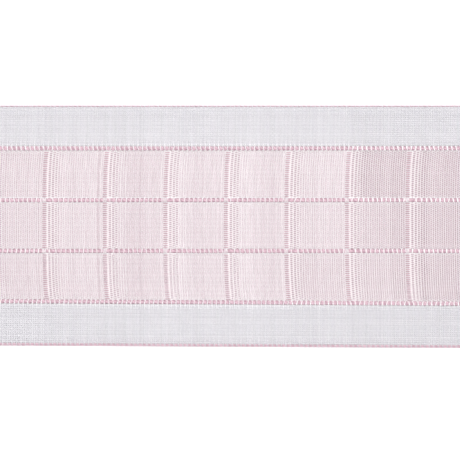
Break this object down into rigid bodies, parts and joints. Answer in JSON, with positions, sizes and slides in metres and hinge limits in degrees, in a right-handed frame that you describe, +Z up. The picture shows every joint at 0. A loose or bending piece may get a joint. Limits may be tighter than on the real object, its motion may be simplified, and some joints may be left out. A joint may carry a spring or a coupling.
{
  "type": "woven ribbon, cut length",
  "caption": "Cut length of woven ribbon lying flat: sheer borders, a pale pink panel of open-edged checks and thick pink cords.",
  "frame": {"origin": "under the middle of the ribbon, on the surface that it lies on", "axes": "+X along the length, +Y across the width, +Z up, out of the ribbon's face"},
  "size_m": [0.0952, 0.0382, 0.0013],
  "materials": {
    "woven_ribbon": "soft woven polyester with a slight sheen"
  },
  "bodies": {
    "root": {"ribbon": "woven_ribbon"}
  },
  "joints": []
}
